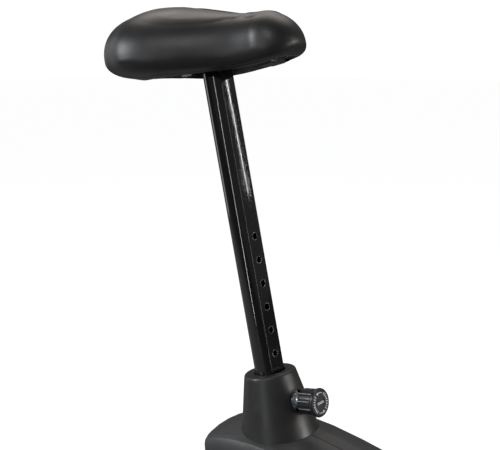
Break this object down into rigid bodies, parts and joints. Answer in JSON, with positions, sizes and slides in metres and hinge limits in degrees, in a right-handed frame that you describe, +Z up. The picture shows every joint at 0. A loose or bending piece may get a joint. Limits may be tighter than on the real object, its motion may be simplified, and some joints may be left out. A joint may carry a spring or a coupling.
{
  "type": "exercise bike",
  "caption": "Upright exercise bike: padded saddle on a pin-locked height-adjustable post, belt-driven flywheel in a two-piece housing, cranks with strapped pedals, tilting bar and console.",
  "frame": {"origin": "centre of the footprint, on the floor", "axes": "+X forward (the way the rider faces), +Y to the rider's left, +Z up"},
  "size_m": [1.012, 0.5262, 1.2627],
  "materials": {
    "saddle_skin": "satin skin with a fine grain",
    "black_gloss_paint": "gloss",
    "black_satin_plastic": "satin",
    "black_hard_plastic": "semi-gloss",
    "black_rubber": "matte",
    "black_foam": "matte foam",
    "zinc_steel": "bright zinc plate",
    "cast_iron": "as cast",
    "dark_steel": "dark machined",
    "display_window": "clear gloss",
    "grey_key": "matte"
  },
  "bodies": {
    "frame": {"base_beam": "black_gloss_paint", "crank_column": "black_gloss_paint", "front_fork": "black_gloss_paint", "seat_tube": "black_gloss_paint", "seat_bushing": "black_satin_plastic", "seat_collar": "black_satin_plastic", "lock_boss": "dark_steel", "rear_stabiliser": "black_gloss_paint", "front_stabiliser": "black_gloss_paint", "rear_bolts": "zinc_steel", "front_bolts": "zinc_steel", "rear_cap_left": "black_satin_plastic", "rear_cap_right": "black_satin_plastic", "front_cap_left": "black_satin_plastic", "front_cap_right": "black_satin_plastic", "crank_bearing_left": "dark_steel", "crank_bearing_right": "dark_steel", "flywheel_bearing_left": "dark_steel", "flywheel_bearing_right": "dark_steel", "drive_belt": "black_rubber", "idler_arm": "dark_steel", "resistance_motor": "black_hard_plastic", "mast": "black_gloss_paint", "console_housing": "black_satin_plastic", "console_window": "display_window", "housing_left": "black_satin_plastic", "housing_right": "black_satin_plastic"},
    "saddle_and_post": {"seat_post": "black_gloss_paint", "saddle_base": "black_hard_plastic", "saddle_cushion": "saddle_skin", "saddle_nut_1": "zinc_steel", "saddle_nut_2": "zinc_steel", "saddle_nut_3": "zinc_steel"},
    "lock_barrel": {"lock_barrel": "zinc_steel", "lock_spring": "dark_steel"},
    "lock_knob": {"lock_knob": "black_hard_plastic", "lock_pin": "zinc_steel"},
    "crank": {"crank_axle": "dark_steel", "crank_pulley": "black_hard_plastic", "crank_arm_left": "black_gloss_paint", "crank_arm_right": "black_gloss_paint"},
    "pedal_left": {"pedal_left": "black_hard_plastic", "pedal_strap_left": "black_rubber"},
    "pedal_right": {"pedal_right": "black_hard_plastic", "pedal_strap_right": "black_rubber"},
    "flywheel": {"flywheel": "cast_iron", "flywheel_axle": "dark_steel"},
    "idler": {"idler_wheel": "black_hard_plastic"},
    "brake": {"brake_bracket": "dark_steel"},
    "handlebar": {"handlebar": "black_gloss_paint", "grip_left": "black_foam", "grip_right": "black_foam"},
    "clamp": {"clamp_knob": "black_hard_plastic"},
    "wheel_left": {"transport_wheel_left": "black_rubber"},
    "wheel_right": {"transport_wheel_right": "black_rubber"},
    "foot_left": {"levelling_foot_left": "black_rubber"},
    "foot_right": {"levelling_foot_right": "black_rubber"},
    "key_1": {"console_key_1": "grey_key"},
    "key_2": {"console_key_2": "grey_key"},
    "key_3": {"console_key_3": "grey_key"}
  },
  "joints": [
    {"name": "seat_height", "type": "slide", "parent": "frame", "child": "saddle_and_post", "axis": [-0.2275, 0, 0.9738], "range_m": [-0.2107, 0.0602]},
    {"name": "lock_turn", "type": "hinge", "parent": "frame", "child": "lock_barrel", "pos_m": [-0.16858, 0, 0.50671], "axis": [0.9738, 0, 0.2275], "range_deg": [0, 360]},
    {"name": "lock_pull", "type": "slide", "parent": "lock_barrel", "child": "lock_knob", "axis": [0.9738, 0, 0.2275], "range_m": [-0.005, 0]},
    {"name": "crank_spin", "type": "hinge", "parent": "frame", "child": "crank", "pos_m": [0.03, 0, 0.295], "axis": [0, 1, 0], "continuous": true},
    {"name": "pedal_left_spin", "type": "hinge", "parent": "crank", "child": "pedal_left", "pos_m": [0.16023, 0.13, 0.18573], "axis": [0, 1, 0], "continuous": true},
    {"name": "pedal_right_spin", "type": "hinge", "parent": "crank", "child": "pedal_right", "pos_m": [-0.10023, -0.13, 0.40427], "axis": [0, 1, 0], "continuous": true},
    {"name": "flywheel_spin", "type": "hinge", "parent": "frame", "child": "flywheel", "pos_m": [0.27, 0, 0.265], "axis": [0, 1, 0], "continuous": true},
    {"name": "idler_spin", "type": "hinge", "parent": "frame", "child": "idler", "pos_m": [0.16223, -0.045, 0.19555], "axis": [0, 1, 0], "continuous": true},
    {"name": "brake_swing", "type": "hinge", "parent": "frame", "child": "brake", "pos_m": [0.324, 0, 0.148], "axis": [0, 1, 0], "range_deg": [0, 5]},
    {"name": "handlebar_tilt", "type": "hinge", "parent": "frame", "child": "handlebar", "pos_m": [0.20139, 0, 1.11431], "axis": [0, 1, 0], "range_deg": [-20, 15]},
    {"name": "clamp_turn", "type": "hinge", "parent": "frame", "child": "clamp", "pos_m": [0.20139, 0, 1.11431], "axis": [1, 0, 0], "range_deg": [-180, 180]},
    {"name": "wheel_left_spin", "type": "hinge", "parent": "frame", "child": "wheel_left", "pos_m": [0.4835, 0.232, 0.0245], "axis": [0, 1, 0], "continuous": true},
    {"name": "wheel_right_spin", "type": "hinge", "parent": "frame", "child": "wheel_right", "pos_m": [0.4835, -0.232, 0.0245], "axis": [0, 1, 0], "continuous": true},
    {"name": "foot_left_turn", "type": "hinge", "parent": "frame", "child": "foot_left", "pos_m": [-0.473, 0.232, 0.01], "axis": [0, 0, 1], "continuous": true},
    {"name": "foot_right_turn", "type": "hinge", "parent": "frame", "child": "foot_right", "pos_m": [-0.473, -0.232, 0.01], "axis": [0, 0, 1], "continuous": true},
    {"name": "key_1_press", "type": "slide", "parent": "frame", "child": "key_1", "axis": [0.6157, 0, -0.788], "range_m": [0, 0.0015], "stiffness_N_per_m": 600},
    {"name": "key_2_press", "type": "slide", "parent": "frame", "child": "key_2", "axis": [0.6157, 0, -0.788], "range_m": [0, 0.0015], "stiffness_N_per_m": 600},
    {"name": "key_3_press", "type": "slide", "parent": "frame", "child": "key_3", "axis": [0.6157, 0, -0.788], "range_m": [0, 0.0015], "stiffness_N_per_m": 600}
  ],
  "couplings": [
    {"joint": "crank_spin", "follows": "flywheel_spin", "ratio": 0.15921},
    {"joint": "idler_spin", "follows": "flywheel_spin", "ratio": -0.89899}
  ]
}
